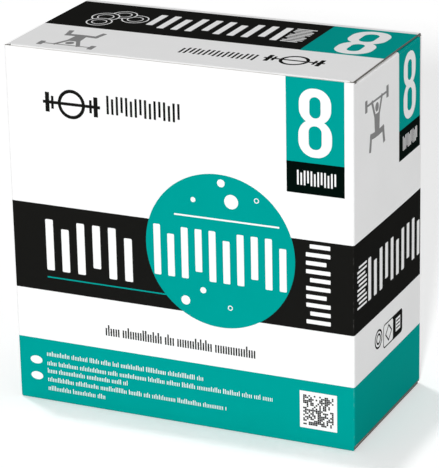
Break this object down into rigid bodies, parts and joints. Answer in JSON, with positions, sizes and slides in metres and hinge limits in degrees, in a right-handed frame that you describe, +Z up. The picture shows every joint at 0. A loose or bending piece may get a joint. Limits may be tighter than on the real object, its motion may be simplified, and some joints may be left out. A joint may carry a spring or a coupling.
{
  "type": "gymnastics chalk carton",
  "caption": "Printed paperboard tuck-top carton that holds paper-sleeved pressed chalk blocks, with a hinged lid, tuck flap and dust flaps.",
  "frame": {"origin": "middle of the footprint, on the surface the carton stands on", "axes": "+X to the carton's right seen from its front, +Y to its back, +Z up"},
  "size_m": [0.1054, 0.0522, 0.1073],
  "materials": {
    "coated_white": "satin",
    "black_print": "satin",
    "teal_print": "satin",
    "bare_board": "matte",
    "pressed_chalk": "matte",
    "sleeve_paper": "matte"
  },
  "bodies": {
    "carton": {"front_panel": "coated_white", "right_side_panel": "coated_white", "back_panel": "coated_white", "left_side_panel": "coated_white", "glue_flap": "bare_board", "bottom_outer_flap": "teal_print", "bottom_inner_flap": "bare_board", "bottom_left_dust_flap": "bare_board", "bottom_right_dust_flap": "bare_board", "chalk_block_1": "pressed_chalk", "chalk_block_2": "pressed_chalk", "chalk_block_3": "pressed_chalk", "chalk_block_4": "pressed_chalk", "chalk_block_5": "pressed_chalk", "chalk_block_6": "pressed_chalk", "chalk_block_7": "pressed_chalk", "chalk_block_8": "pressed_chalk", "paper_sleeve_1": "sleeve_paper", "paper_sleeve_2": "sleeve_paper", "paper_sleeve_3": "sleeve_paper", "paper_sleeve_4": "sleeve_paper", "paper_sleeve_5": "sleeve_paper", "paper_sleeve_6": "sleeve_paper", "paper_sleeve_7": "sleeve_paper", "paper_sleeve_8": "sleeve_paper"},
    "lid": {"lid_panel": "black_print"},
    "tuck": {"lid_tuck_flap": "coated_white"},
    "left_dust": {"left_dust_flap": "coated_white"},
    "right_dust": {"right_dust_flap": "coated_white"}
  },
  "joints": [
    {"name": "lid_hinge", "type": "hinge", "parent": "carton", "child": "lid", "pos_m": [0, 0.0261, 0.1073], "axis": [-1, 0, 0], "range_deg": [0, 175]},
    {"name": "tuck_fold", "type": "hinge", "parent": "lid", "child": "tuck", "pos_m": [0, -0.0253, 0.1073], "axis": [-1, 0, 0], "range_deg": [0, 60]},
    {"name": "left_dust_fold", "type": "hinge", "parent": "carton", "child": "left_dust", "pos_m": [-0.0527, 0, 0.1065], "axis": [0, -1, 0], "range_deg": [0, 90]},
    {"name": "right_dust_fold", "type": "hinge", "parent": "carton", "child": "right_dust", "pos_m": [0.0527, 0, 0.1065], "axis": [0, 1, 0], "range_deg": [0, 90]}
  ],
  "couplings": [
    {"joint": "tuck_fold", "follows": "lid_hinge", "ratio": 0.3},
    {"joint": "left_dust_fold", "follows": "lid_hinge", "ratio": 0.45},
    {"joint": "right_dust_fold", "follows": "lid_hinge", "ratio": 0.45}
  ]
}
